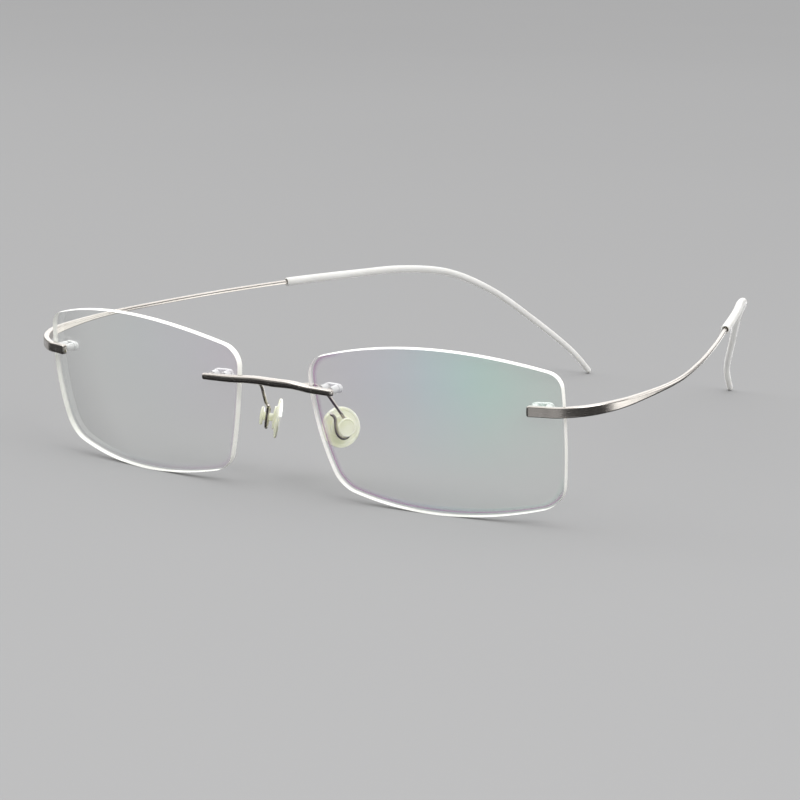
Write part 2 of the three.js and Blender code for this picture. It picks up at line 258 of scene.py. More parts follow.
# ---------- meshes ----------
def seamless(entries):
    """UV pairs of one face's corners. An entry is (across, along) or (round, along, girth);
    a face that crosses the seam of its rings counts on past the girth."""
    if len(entries[0]) == 2:
        return entries
    rounds = [entry[0] for entry in entries]
    crosses = max(rounds) - min(rounds) > 0.5 * entries[0][2]
    return [(r + girth if crosses and r < 0.5 * girth else r, along)
            for r, along, girth in entries]


def make_piece(name, points, faces, side=1, layers=None, finishes=(), finish_of=None):
    """A mesh object from design points. layers names UV layers, each with an entry per point;
    finish_of gives each face's material index."""
    mesh = bpy.data.meshes.new(name)
    if side < 0:
        faces = [tuple(reversed(face)) for face in faces]
    mesh.from_pydata([place(p, side) for p in points], [], faces)
    for label, entries in (layers or {}).items():
        layer = mesh.uv_layers.new(name=label)
        for polygon in mesh.polygons:
            corners = [entries[vertex] for vertex in polygon.vertices]
            for loop, pair in zip(polygon.loop_indices, seamless(corners)):
                layer.data[loop].uv = pair
    for finish in finishes:
        mesh.materials.append(finish)
    if finish_of:
        for polygon, index in zip(mesh.polygons, finish_of):
            polygon.material_index = index
    mesh.polygons.foreach_set("use_smooth", [True] * len(mesh.polygons))
    piece = bpy.data.objects.new(name, mesh)
    bpy.context.scene.collection.objects.link(piece)
    return piece


def loft(rings, first=None, last=None):
    """Points and outward faces of a closed skin over rings, which turn anticlockwise as seen
    from ahead of the last one. first and last are points that close the ends with a fan;
    without them, an end is one flat face."""
    count = len(rings[0])
    points = [p for ring in rings for p in ring]
    faces = []
    for ring in range(len(rings) - 1):
        low, high = ring * count, (ring + 1) * count
        for i in range(count):
            j = (i + 1) % count
            faces.append((low + i, low + j, high + j, high + i))
    for ring, centre, flip in ((0, first, True), (len(rings) - 1, last, False)):
        start = ring * count
        loop = [start + i for i in range(count)]
        if centre is None:
            faces.append(tuple(reversed(loop)) if flip else tuple(loop))
            continue
        points.append(Vector(centre))
        tip = len(points) - 1
        for i in range(count):
            a, b = loop[i], loop[(i + 1) % count]
            faces.append((b, a, tip) if flip else (a, b, tip))
    return points, faces


def rounded_rectangle(half_width, half_height, radius, arc_steps=6):
    """Offsets (across, up) round a rectangle with round corners. Each flat has a point close
    to its ends, which keeps its shading flat."""
    radius = min(radius, 0.97 * half_width, 0.97 * half_height)
    offsets = []
    for quarter in range(4):
        sign_a = 1 if quarter in (0, 3) else -1
        sign_b = 1 if quarter < 2 else -1
        arc = []
        for step in range(arc_steps + 1):
            angle = (quarter + step / arc_steps) * math.pi / 2
            a = sign_a * (half_width - radius) + radius * math.cos(angle)
            b = sign_b * (half_height - radius) + radius * math.sin(angle)
            arc.append((a, b))
        offsets.append(arc)
    ring = []
    for quarter, arc in enumerate(offsets):
        before, after = offsets[quarter - 1][-1], offsets[(quarter + 1) % 4][0]
        ring.append(towards(arc[0], before, 0.08))
        ring.extend(arc)
        ring.append(towards(arc[-1], after, 0.08))
    return ring


def towards(a, b, share):
    return tuple(p + share * (q - p) for p, q in zip(a, b))


def ring_across(route, distance, offsets):
    """Offsets (across, up) set round a route, level side to side."""
    centre, along = route.at(distance)
    across = along.cross(UP).normalized()
    upright = across.cross(along)
    return [centre + a * across + b * upright for a, b in offsets]


def circle(radius, count=24):
    turns = [2 * math.pi * i / count for i in range(count)]
    return [(radius * math.cos(t), radius * math.sin(t)) for t in turns]


def lathe_rings(profile, origin, axis, start, count):
    """Rings round an axis for a profile of (radius, place along the axis)."""
    side = axis.cross(start)
    rings = []
    for radius, along in profile:
        centre = origin + along * axis
        rings.append([centre + a * start + b * side for a, b in circle(radius, count)])
    return rings


def filleted(corners, steps=5):
    """A profile of (radius, place, reach) corners with each one rounded over its reach."""
    profile = []
    last = len(corners) - 1
    for i, (x, y, reach) in enumerate(corners):
        here = Vector((x, y))
        if i in (0, last):
            profile.append((x, y))
            continue
        before = Vector(corners[i - 1][:2]) - here
        after = Vector(corners[i + 1][:2]) - here
        start = here + before.normalized() * min(reach, 0.45 * before.length)
        end = here + after.normalized() * min(reach, 0.45 * after.length)
        for k in range(steps + 1):
            t = k / steps
            point = (1 - t) ** 2 * start + 2 * t * (1 - t) * here + t * t * end
            profile.append(tuple(point))
    return profile


def end_inset(distance, rounding):
    """How far a bar's section draws in near its rounded end."""
    if distance >= rounding:
        return 0.0
    return rounding - math.sqrt(rounding ** 2 - (rounding - distance) ** 2)


def wire_rings(route, distances, radius_at, count=16):
    """Round sections along a route, carried along it without twisting."""
    along = route.at(distances[0])[1]
    start = along.orthogonal().normalized()
    rings = []
    for distance in distances:
        centre, ahead = route.at(distance)
        start = along.rotation_difference(ahead) @ start
        start = (start - start.dot(ahead) * ahead).normalized()
        along = ahead
        side = ahead.cross(start)
        radius = radius_at(distance)
        rings.append([centre + a * start + b * side for a, b in circle(radius, count)])
    return rings


def boolean(piece, tool, operation):
    """Cuts or joins the tool into the piece, and removes the tool."""
    modifier = piece.modifiers.new("shape", "BOOLEAN")
    modifier.operation = operation
    modifier.solver = "EXACT"
    modifier.object = tool
    graph = bpy.context.evaluated_depsgraph_get()
    shaped = bpy.data.meshes.new_from_object(piece.evaluated_get(graph))
    piece.modifiers.clear()
    before, piece.data = piece.data, shaped
    bpy.data.meshes.remove(before)
    bpy.data.objects.remove(tool)


def crisp(piece, degrees=35):
    """Smooth shading that keeps edges sharper than an angle."""
    mesh = piece.data
    mesh.polygons.foreach_set("use_smooth", [True] * len(mesh.polygons))
    mesh.set_sharp_from_angle(angle=math.radians(degrees))
    return piece


# ---------- materials ----------
class Finish:
    """A node material under construction."""

    def __init__(self, name):
        self.material = bpy.data.materials.new(name)
        self.material.use_nodes = True
        self.tree = self.material.node_tree
        self.tree.nodes.clear()

    def node(self, kind, settings=None, **inputs):
        """A node with its settings, and its inputs by name: a value or another's output."""
        node = self.tree.nodes.new("ShaderNode" + kind)
        for key, value in (settings or {}).items():
            setattr(node, key, value)
        for key, value in inputs.items():
            socket = node.inputs[key.replace("_", " ")]
            if isinstance(value, bpy.types.NodeSocket):
                self.tree.links.new(value, socket)
            else:
                socket.default_value = value
        return node

    def object_points(self):
        return self.node("TexCoord").outputs["Object"]

    def layer(self, name):
        return self.node("UVMap", {"uv_map": name}).outputs["UV"]

    def scaled(self, points, scale):
        return self.node("Mapping", Vector=points, Scale=scale).outputs["Vector"]

    def noise(self, points, scale, detail=3.0, roughness=0.5):
        node = self.node("TexNoise", Vector=points, Scale=scale, Detail=detail,
                         Roughness=roughness)
        return node.outputs["Fac"]

    def between(self, factor, low, high, start=0.3, end=0.7):
        """A number that goes from low to high as the factor goes from start to end."""
        node = self.node("MapRange", Value=factor)
        node.inputs["From Min"].default_value = start
        node.inputs["From Max"].default_value = end
        node.inputs["To Min"].default_value = low
        node.inputs["To Max"].default_value = high
        return node.outputs["Result"]

    def ramp(self, factor, stops):
        """A colour read from (place, colour) stops."""
        node = self.node("ValToRGB", Fac=factor)
        elements = node.color_ramp.elements
        while len(elements) < len(stops):
            elements.new(1.0)
        for element, (where, colour) in zip(elements, stops):
            element.position = where
            element.color = (*colour, 1.0)
        return node.outputs["Color"]

    def math(self, operation, *values):
        node = self.node("Math", {"operation": operation})
        for socket, value in zip(node.inputs, values):
            if isinstance(value, bpy.types.NodeSocket):
                self.tree.links.new(value, socket)
            else:
                socket.default_value = value
        return node.outputs["Value"]

    def mixed(self, share, first, second):
        """A colour between two others: each is a socket or a constant."""
        node = self.node("Mix", {"data_type": "RGBA"})
        for socket, value in zip((node.inputs[0], node.inputs[6], node.inputs[7]),
                                 (share, first, second)):
            if isinstance(value, bpy.types.NodeSocket):
                self.tree.links.new(value, socket)
            else:
                socket.default_value = value
        return node.outputs[2]

    def bump(self, height, strength, depth):
        node = self.node("Bump", Height=height, Strength=strength, Distance=depth)
        return node.outputs["Normal"]

    def finish(self, shader):
        output = self.node("OutputMaterial")
        self.tree.links.new(shader, output.inputs["Surface"])
        return self.material


def brushed_titanium():
    """Satin gunmetal with fine brushing along the wire."""
    f = Finish("brushed_titanium")
    along = f.layer("Along")
    streaks = f.noise(f.scaled(along, (9.0, 0.5, 1.0)), 1.0, 5.0, 0.6)
    broad = f.noise(f.scaled(along, (0.8, 0.09, 1.0)), 1.0, 2.0)
    colour = f.ramp(broad, [(0.3, (0.5, 0.468, 0.435)), (0.7, (0.575, 0.543, 0.51))])
    roughness = f.between(streaks, 0.17, 0.29)
    normal = f.bump(streaks, 0.12, 0.00004)
    shader = f.node("BsdfPrincipled", Metallic=1.0, Roughness=roughness, Normal=normal)
    f.tree.links.new(colour, shader.inputs["Base Color"])
    return f.finish(shader.outputs["BSDF"])


def turned_titanium():
    """The same metal where it is turned or soldered."""
    f = Finish("turned_titanium")
    points = f.object_points()
    grain = f.noise(points, 2600.0, 3.0)
    colour = f.ramp(f.noise(points, 420.0), [(0.3, (0.47, 0.44, 0.41)), (0.7, (0.56, 0.53, 0.5))])
    shader = f.node("BsdfPrincipled", Metallic=1.0, Roughness=f.between(grain, 0.18, 0.32),
                    Normal=f.bump(grain, 0.1, 0.00003))
    f.tree.links.new(colour, shader.inputs["Base Color"])
    return f.finish(shader.outputs["BSDF"])


PAINTED_REFLECTION_TINTS = [  # place across, from the nose to the temple, and colour of the coating's painted reflection
    (0.0, (0.9, 0.4, 0.95)),
    (0.3, (0.62, 0.62, 1.0)),
    (0.5, (0.4, 0.85, 1.0)),
    (0.72, (0.35, 1.0, 0.8)),
    (1.0, (0.55, 1.0, 0.75)),
]
SPREAD_PLACES = (0.0, 0.3, 0.65, 1.0)
# colour of the painted reflection of the rim, seen inside the lens
RIM_REFLECTION_COLOUR = (0.42, 0.2, 0.39, 1.0)
# spans of the coating's painted reflection, in millimetres on the lens: across towards the temple,
# and up
TINT_ACROSS = (-22.0, 32.0)
TINT_RISE = (-9.0, 9.0)
LINE_STARTS = (0.1, 0.35)  # inward from the rim
LINE_FADES = (0.4, 1.5)
LINE_BOTTOM = (-11.5, -7.0)
LINE_NASAL = (-22.0, -18.0)


def painted_reflection_share(f, place_across, up, strength, spread):
    """How strong the coating's painted reflection is: least at the bottom, and by the spread
    across.
    """
    stops = [(where, (share,) * 3) for where, share in zip(SPREAD_PLACES, spread)]
    rise = f.between(up, 0.08 * strength, strength, *TINT_RISE)
    return f.math("MULTIPLY", rise, f.ramp(place_across, stops))


def painted_rim_reflection(f, across, up):
    """A painted reflection of the rim: a thin line inside the back of the rim, along the bottom and
    the nose side.
    """
    rim = f.node("SeparateXYZ", Vector=f.layer("Rim"))
    inward, depth = rim.outputs["X"], rim.outputs["Y"]
    line = f.math("MULTIPLY", f.between(inward, 0.0, 1.0, *LINE_STARTS),
                  f.between(inward, 1.0, 0.0, *LINE_FADES))
    line = f.math("MULTIPLY", line, f.math("GREATER_THAN", depth, LENS_THICKNESS / 2))
    low_or_nasal = f.math("MAXIMUM", f.between(up, 1.0, 0.0, *LINE_BOTTOM),
                          f.between(across, 1.0, 0.0, *LINE_NASAL))
    return f.math("MULTIPLY", line, low_or_nasal)


def coated_lens(label, strength, spread):
    """Clear lens with a coating whose reflection is painted as a tinted matt layer, from violet by
    the nose to green at the temple, with a painted violet line of reflected rim; real gloss lies
    over it. spread gives the painted reflection's share of its strength at four places across."""
    f = Finish(f"coated_lens_{label}")
    lens = f.layer("Lens")
    split = f.node("SeparateXYZ", Vector=lens)
    across, up = split.outputs["X"], split.outputs["Y"]
    waver = f.noise(f.scaled(lens, (0.05, 0.05, 1.0)), 1.0, 2.0)
    shifted = f.math("MULTIPLY_ADD", waver, 10.0, across)
    place_across = f.between(shifted, 0.0, 1.0, *TINT_ACROSS)
    coating_reflection_paint = painted_reflection_share(f, place_across, up, strength, spread)
    line = painted_rim_reflection(f, across, up)
    # painted reflection of the rim, as its share of the matt layer
    rim_reflection_share = f.math("MULTIPLY", line, min(0.55, 4.6 * strength))
    tint = f.mixed(line, f.ramp(place_across, PAINTED_REFLECTION_TINTS), RIM_REFLECTION_COLOUR)
    clear = f.node("BsdfTransparent", Color=(0.975, 0.98, 0.975, 1.0))
    # painted reflection: a matt layer in the coating's tints over the clear lens, lit alike from
    # every side
    matt_reflection_shader = f.node("BsdfDiffuse", Color=tint)
    matt_reflection_mix = f.node("MixShader", Fac=f.math("MAXIMUM", coating_reflection_paint, rim_reflection_share))
    f.tree.links.new(clear.outputs["BSDF"], matt_reflection_mix.inputs[1])
    f.tree.links.new(matt_reflection_shader.outputs["BSDF"], matt_reflection_mix.inputs[2])
    gloss = f.node("BsdfGlossy", Color=(0.95, 0.97, 0.98, 1.0), Roughness=0.03)
    facing = f.node("LayerWeight", Blend=0.2)
    mixed = f.node("MixShader", Fac=f.between(facing.outputs["Facing"], 0.0, 0.6, 0.22, 0.9))
    f.tree.links.new(matt_reflection_mix.outputs["Shader"], mixed.inputs[1])
    f.tree.links.new(gloss.outputs["BSDF"], mixed.inputs[2])
    return f.finish(mixed.outputs["Shader"])


def frosted_edge():
    """Ground lens edge with a painted glow: a faint emission stands in for the light that the lens
    carries to it. Seen through the lens, it looks narrower than it is, as refraction makes it."""
    f = Finish("frosted_lens_edge")
    points = f.object_points()
    grain = f.noise(points, 3200.0, 4.0)
    colour = f.ramp(f.noise(points, 260.0), [(0.3, (0.84, 0.84, 0.79)), (0.7, (0.9, 0.9, 0.86))])
    ground = f.node("BsdfPrincipled", Roughness=0.35, Normal=f.bump(grain, 0.15, 0.00003))
    f.tree.links.new(colour, ground.inputs["Base Color"])
    # painted glow, standing in for light carried to the edge inside the lens
    ground.inputs["Emission Color"].default_value = (1.0, 0.99, 0.93, 1.0)
    ground.inputs["Emission Strength"].default_value = 0.12
    depth = f.node("SeparateXYZ", Vector=f.layer("Rim")).outputs["Y"]
    hidden = f.between(depth, 0.0, 0.9, 0.62 * LENS_THICKNESS, 1.02 * LENS_THICKNESS)
    from_inside = f.node("NewGeometry").outputs["Backfacing"]
    clear = f.node("BsdfTransparent", Color=(0.97, 0.975, 0.97, 1.0))
    mixed = f.node("MixShader", Fac=f.math("MULTIPLY", from_inside, hidden))
    f.tree.links.new(ground.outputs["BSDF"], mixed.inputs[1])
    f.tree.links.new(clear.outputs["BSDF"], mixed.inputs[2])
    return f.finish(mixed.outputs["Shader"])


def clear_plastic():
    """Moulded clear plastic of the bushings."""
    f = Finish("clear_bushing_plastic")
    points = f.object_points()
    flow = f.noise(points, 900.0, 2.0)
    colour = f.ramp(flow, [(0.3, (0.95, 0.96, 0.97)), (0.7, (1.0, 1.0, 1.0))])
    shader = f.node("BsdfPrincipled", Roughness=f.between(flow, 0.04, 0.2), IOR=1.5,
                    Normal=f.bump(flow, 0.25, 0.00008))
    f.tree.links.new(colour, shader.inputs["Base Color"])
    shader.inputs["Transmission Weight"].default_value = 0.3
    return f.finish(shader.outputs["BSDF"])


def milky_silicone():
    """Translucent white silicone of the tip sleeves."""
    f = Finish("milky_silicone")
    along = f.layer("Along")
    cloud = f.noise(f.scaled(along, (0.5, 0.12, 1.0)), 1.0, 3.0)
    skin = f.noise(f.scaled(along, (5.0, 2.2, 1.0)), 1.0, 4.0)
    colour = f.ramp(cloud, [(0.3, (0.68, 0.674, 0.652)), (0.7, (0.76, 0.754, 0.733))])
    shader = f.node("BsdfPrincipled", Roughness=f.between(skin, 0.3, 0.46), IOR=1.41,
                    Normal=f.bump(skin, 0.08, 0.00004))
    f.tree.links.new(colour, shader.inputs["Base Color"])
    shader.inputs["Specular IOR Level"].default_value = 0.35
    shader.inputs["Subsurface Weight"].default_value = 0.2
    shader.inputs["Subsurface Radius"].default_value = (1.0, 0.95, 0.85)
    shader.inputs["Subsurface Scale"].default_value = 0.0006
    return f.finish(shader.outputs["BSDF"])


def pad_silicone():
    """Soft clear silicone of the nose pads, a little yellow, with a painted glow for light passing
    through it.
    """
    f = Finish("pad_silicone")
    points = f.object_points()
    cloud = f.noise(points, 380.0, 3.0)
    skin = f.noise(points, 1900.0, 3.0)
    colour = f.ramp(cloud, [(0.3, (0.84, 0.86, 0.66)), (0.7, (0.95, 0.955, 0.83))])
    shader = f.node("BsdfPrincipled", Roughness=f.between(skin, 0.08, 0.2), IOR=1.41,
                    Normal=f.bump(skin, 0.16, 0.00006))
    f.tree.links.new(colour, shader.inputs["Base Color"])
    shader.inputs["Subsurface Weight"].default_value = 0.5
    shader.inputs["Subsurface Radius"].default_value = (1.0, 1.0, 0.7)
    shader.inputs["Subsurface Scale"].default_value = 0.0012
    # painted glow, standing in for light that passes through the silicone
    shader.inputs["Emission Color"].default_value = (1.0, 1.0, 0.86, 1.0)
    shader.inputs["Emission Strength"].default_value = 0.08
    shader.inputs["Transmission Weight"].default_value = 0.4
    shader.inputs["Coat Weight"].default_value = 1.0
    shader.inputs["Coat Roughness"].default_value = 0.04
    return f.finish(shader.outputs["BSDF"])


def studio_floor():
    """Matt pale grey, almost even."""
    f = Finish("studio_floor")
    points = f.object_points()
    cloud = f.noise(points, 1.5, 3.0)
    grain = f.noise(points, 700.0, 2.0)
    colour = f.ramp(cloud, [(0.3, (0.308, 0.308, 0.311)), (0.7, (0.318, 0.318, 0.321))])
    shader = f.node("BsdfPrincipled", Roughness=f.between(grain, 0.8, 0.95))
    shader.inputs["Specular IOR Level"].default_value = 0.0
    f.tree.links.new(colour, shader.inputs["Base Color"])
    return f.finish(shader.outputs["BSDF"])


TITANIUM = brushed_titanium()
TURNED = turned_titanium()
LENS_COAT = {
    "left": coated_lens("left", 0.12, (0.12, 0.5, 1.0, 0.4)),
    "right": coated_lens("right", 0.05, (1.0, 0.6, 0.1, 0.0)),
}
LENS_EDGE = frosted_edge()
BUSHING = clear_plastic()
SILICONE = milky_silicone()
PAD = pad_silicone()


def settle(piece, slot, body, *nodes):
    """Puts a piece on its body, and hides the CAD nodes that it stands for. slot is not used."""
    if body:
        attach(piece, body)
    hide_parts(*nodes)


# ---------- lenses ----------
LENS_POSE = (
    Matrix.Translation(LENS_CENTRE)
    @ Matrix.Rotation(LENS_WRAP, 4, "Z")
    @ Matrix.Rotation(LENS_TILT, 4, "X")
)


def sag(radius):
    return radius * radius / (2 * LENS_RADIUS)


def quadratic(a, b, c, t):
    return (1 - t) ** 2 * a + 2 * t * (1 - t) * b + t * t * c


def quadratic_direction(a, b, c, t):
    return ((1 - t) * (b - a) + t * (c - b)).normalized()


def lens_outline(side_steps=26, corner_steps=14):
    """Four bowed sides joined by soft corners, as points (across, up)."""
    corners = [Vector(corner) for corner, _, _ in LENS_SIDES]
    sides = []
    for i, (_, bulge, trim) in enumerate(LENS_SIDES):
        a, c = corners[i], corners[(i + 1) % 4]
        chord = c - a
        outward = Vector((-chord.y, chord.x)).normalized()
        b = (a + c) / 2 + outward * 2 * bulge
        end = 1 - LENS_SIDES[(i + 1) % 4][2] / chord.length
        sides.append(((a, b, c), trim / chord.length, end))
    outline = []
    for i, (curve, start, end) in enumerate(sides):
        for k in range(side_steps):
            outline.append(quadratic(*curve, start + (end - start) * k / side_steps))
        next_curve, next_start, _ = sides[(i + 1) % 4]
        a, b = quadratic(*curve, end), quadratic(*next_curve, next_start)
        ta = quadratic_direction(*curve, end)
        tb = quadratic_direction(*next_curve, next_start)
        turn = ta.cross(tb)
        handle_a = a + ta * (b - a).cross(tb) / turn * CORNER_TENSION
        handle_b = b + tb * (b - a).cross(ta) / turn * CORNER_TENSION
        for k in range(corner_steps):
            t = k / corner_steps
            outline.append((1 - t) ** 3 * a + 3 * t * (1 - t) ** 2 * handle_a
                           + 3 * t * t * (1 - t) * handle_b + t ** 3 * b)
    return outline


def drill(pose, radius, start, end, side, finishes=(), count=32):
    """A cylinder along a mount's depth at each pin's place."""
    tools = []
    axis, first = Vector((0, 1, 0)), Vector((1, 0, 0))
    for x in PIN_PLACES:
        rings = lathe_rings([(radius, start), (radius, end)], Vector((x, 0, 0)), axis, first, count)
        rings = [[pose @ p for p in reversed(ring)] for ring in rings]
        tools.append(make_piece("drill", *loft(rings), side=side, finishes=finishes))
    return tools


def mount_pose(mount):
    """Front of the lens at a mount: X along the bar, Y into the lens, Z up the lens."""
    u, v = mount
    turn = LENS_POSE.to_3x3()
    normal = (turn @ Vector((u / LENS_RADIUS, -1, v / LENS_RADIUS))).normalized()
    point = LENS_POSE @ Vector((u, sag(math.hypot(u, v)), v))
    along = UP.cross(normal).normalized()
    upright = normal.cross(along)
    pose = Matrix((along, -normal, upright)).transposed().to_4x4()
    pose.translation = point
    return pose


NASAL = mount_pose(NASAL_MOUNT)
TEMPORAL = mount_pose(TEMPORAL_MOUNT)
RING_SHARES = [0.08, 0.2, 0.32, 0.44, 0.56, 0.67, 0.77, 0.86, 0.93, 0.97]
MIDDLE_TO_RIM = 20


def make_lens(name, side):
    outline = lens_outline()
    rim = [p * (1 - LENS_BEVEL / p.length) for p in outline]
    flats = [[p * share for p in rim] for share in RING_SHARES] + [rim]
    front = [(ring, 0.0) for ring in flats]
    band = [(outline, LENS_BEVEL), (outline, LENS_THICKNESS / 2),
            (outline, LENS_THICKNESS - LENS_BEVEL)]
    back = [(ring, LENS_THICKNESS) for ring in reversed(flats)]
    rings, pairs, from_rim = [], [], []
    for ring, depth in front + band + back:
        rings.append([LENS_POSE @ Vector((p.x, sag(p.length) + depth, p.y)) for p in ring])
        pairs.extend(tuple(p) for p in ring)
        from_rim.extend((edge.length - p.length, depth) for p, edge in zip(ring, rim))
    middle = [LENS_POSE @ Vector((0, depth, 0)) for depth in (0, LENS_THICKNESS)]
    points, faces = loft(rings, *middle)
    pairs += [(0, 0), (0, 0)]
    from_rim += [(MIDDLE_TO_RIM, 0), (MIDDLE_TO_RIM, LENS_THICKNESS)]
    edge_rings = range(len(front), len(front) + len(band))
    count = len(outline)
    ring_count = len(rings) - 1
    finish_of = [1 if i // count in edge_rings else 0 for i in range(ring_count * count)]
    finish_of += [0] * (len(faces) - len(finish_of))
    label = "left" if side > 0 else "right"
    lens = make_piece(name, points, faces, side, {"Lens": pairs, "Rim": from_rim},
                      (LENS_COAT[label], LENS_EDGE), finish_of)
    for pose in (NASAL, TEMPORAL):
        for tool in drill(pose, LENS_HOLE_RADIUS, -2, 4, side, (LENS_EDGE,)):
            boolean(lens, tool, "DIFFERENCE")
    return crisp(lens)


# ---------- bushings and pins ----------
def stadium(half_length, radius, count=14):
    points = []
    for end, start in ((1, -math.pi / 2), (-1, math.pi / 2)):
        for k in range(count + 1):
            angle = start + math.pi * k / count
            points.append((end * half_length + radius * math.cos(angle), radius * math.sin(angle)))
    return points


def make_bushing(name, pose, side):
    """A clear plate behind the lens with two tubes through it, which hold the pins."""
    behind = LENS_THICKNESS + FIT_GAP
    back = behind + BUSHING_DEPTH
    half = (BUSHING_LENGTH - BUSHING_HEIGHT) / 2
    full = BUSHING_HEIGHT / 2
    profile = [
        (full - BUSHING_CHAMFER, behind), (full, behind + BUSHING_CHAMFER), (full, back - 0.35),
        (full - 0.1, back - BUSHING_CHAMFER), (full - 0.3, back),
    ]
    rings = []
    for radius, depth in profile:
        ring = [pose @ Vector((x, depth, z)) for x, z in stadium(half, radius)]
        rings.append(list(reversed(ring)))
    plate = make_piece(name, *loft(rings), side=side, finishes=(BUSHING,))
    for tube in drill(pose, PLUG_RADIUS, TUBE_START, behind + 0.2, side):
        boolean(plate, tube, "UNION")
    for bore in drill(pose, BORE_RADIUS, -1, back + 1, side):
        boolean(plate, bore, "DIFFERENCE")
    return crisp(plate)


def make_pin(name, pose, x, side):
    """A pin with a shoulder under the bar and a domed end."""
    top = -FIT_GAP + 0.02
    profile = [
        (PIN_SHOULDER_RADIUS - 0.04, top), (PIN_SHOULDER_RADIUS, top + 0.04),
        (PIN_SHOULDER_RADIUS, -0.04), (PIN_SHOULDER_RADIUS - 0.05, 0.0),
        (PIN_RADIUS + 0.02, 0.02), (PIN_RADIUS, 0.08), (PIN_RADIUS, PIN_BACK - PIN_TIP_ROUNDING),
        (PIN_RADIUS - 0.05, PIN_BACK - 0.06), (PIN_RADIUS - PIN_TIP_ROUNDING, PIN_BACK),
    ]
    axis, first = Vector((0, 1, 0)), Vector((1, 0, 0))
    rings = lathe_rings(profile, Vector((x, 0, 0)), axis, first, 24)
    rings = [[pose @ p for p in reversed(ring)] for ring in rings]
    ends = [pose @ Vector((x, top, 0)), pose @ Vector((x, PIN_BACK + 0.03, 0))]
    return crisp(make_piece(name, *loft(rings, *ends), side=side, finishes=(TURNED,)))


# ---------- metal ----------
def bar_layers(rings, distances):
    """UV entries (round, along, girth) in millimetres for the points of lofted rings."""
    entries = []
    for ring, distance in zip(rings, distances):
        steps = [(ring[i] - ring[i - 1]).length for i in range(len(ring))]
        girth = sum(steps)
        around = 0.0
        for i, step in enumerate(steps):
            around += step if i else 0.0
            entries.append((around, distance, girth))
    return entries


def make_bridge(name):
    mount_depth = table_at(BRIDGE_SECTIONS, BRIDGE_MOUNT_SHARE)[0]
    clear = -(FIT_GAP + mount_depth / 2)
    mounts = [NASAL @ Vector((x, clear, 0)) for x in (-BRIDGE_INBOARD, 0, BRIDGE_OVERLAP)]
    half = [Vector(p) for p in BRIDGE_MIDDLE] + mounts
    other = [Vector((-p.x, p.y, p.z)) for p in reversed(half[1:])]
    route = Route(other + half)
    rounding = BRIDGE_END_ROUNDING
    near = [0, 0.02, 0.05, 0.1, 0.17]
    distances = near + evenly(rounding, route.length - rounding, 0.35)
    distances += [route.length - d for d in reversed(near)]
    rings = []
    for distance in distances:
        share = abs(2 * distance / route.length - 1)
        depth, height = smooth_table_at(BRIDGE_SECTIONS, share, 0.08)
        inset = end_inset(min(distance, route.length - distance), rounding)
        half_depth, half_height = depth / 2 - inset, height / 2 - inset
        offsets = rounded_rectangle(half_depth, half_height, 0.72 * min(half_depth, half_height))
        rings.append(ring_across(route, distance, offsets))
    points, faces = loft(rings)
    pairs = bar_layers(rings, distances)
    return crisp(make_piece(name, points, faces, 1, {"Along": pairs}, (TITANIUM,)), 50)


def make_temple(name, side):
    """The whole temple, from the bar over the lens to the wire's end inside the sleeve."""
    end = temple_route.length - CORE_SHORT
    distances = [0, 0.03, 0.08, 0.16, 0.28] + evenly(BAR_END_ROUNDING, FINE_UNTIL, 0.4)
    distances += evenly(FINE_UNTIL + 0.8, end, 0.9)
    rings = []
    for distance in distances:
        thickness, height, radius = smooth_table_at(TEMPLE_SECTIONS, distance, 3.0)
        inset = end_inset(distance, BAR_END_ROUNDING)
        offsets = rounded_rectangle(thickness / 2 - 0.7 * inset, height / 2 - inset, radius)
        rings.append(ring_across(temple_route, distance, offsets))
    points, faces = loft(rings)
    pairs = bar_layers(rings, distances)
    return crisp(make_piece(name, points, faces, side, {"Along": pairs}, (TITANIUM,)), 50)


def make_sleeve(name, side):
    """A silicone tube over the wire, with a rolled lip at its start and a round end."""
    end = temple_route.length
    core_end = end - CORE_SHORT + CORE_END_GAP
    cap_start = end - SLEEVE_END_ROUNDING
    tube = [SLEEVE_AT + SLEEVE_LIP] + evenly(SLEEVE_AT + 1.0, cap_start - 0.05, 1.0)

    def outer(distance):
        return smooth_table_at(SLEEVE_SECTIONS, distance, 3.0)[0] / 2

    def bore(distance):
        return smooth_table_at(TEMPLE_SECTIONS, distance, 3.0)[0] / 2 + SLEEVE_CLEARANCE

    profile = [(d, bore(d)) for d in reversed(evenly(SLEEVE_AT + 0.7, core_end, 2.5))]
    mouth, rim = bore(SLEEVE_AT), outer(SLEEVE_AT)
    profile += [(SLEEVE_AT + along, mouth + out) for along, out in SLEEVE_MOUTH]
    profile.append((SLEEVE_AT, (mouth + rim) / 2))
    profile += [(SLEEVE_AT + along, rim - inside) for along, inside in SLEEVE_RIM]
    profile += [(d, outer(d)) for d in tube]
    tip = outer(end)
    for k in range(1, 7):
        angle = math.pi / 2 * k / 7
        along = cap_start + SLEEVE_END_ROUNDING * math.sin(angle)
        profile.append((along, tip * math.cos(angle)))
    rings = [ring_across(temple_route, min(d, end), circle(r, 28)) for d, r in profile]
    first = temple_route.at(core_end)[0]
    last = temple_route.at(end)[0]
    points, faces = loft(rings, first, last)
    pairs = bar_layers(rings, [d for d, _ in profile])
    pairs += [(0, core_end, 1), (0, end, 1)]
    return crisp(make_piece(name, points, faces, side, {"Along": pairs}, (SILICONE,)), 50)


# ---------- nose pads ----------
PAD_AXIS = Vector(PAD_NORMAL).normalized()
PAD_UP = (UP - UP.dot(PAD_AXIS) * PAD_AXIS).normalized()
PAD_ACROSS = PAD_AXIS.cross(PAD_UP)


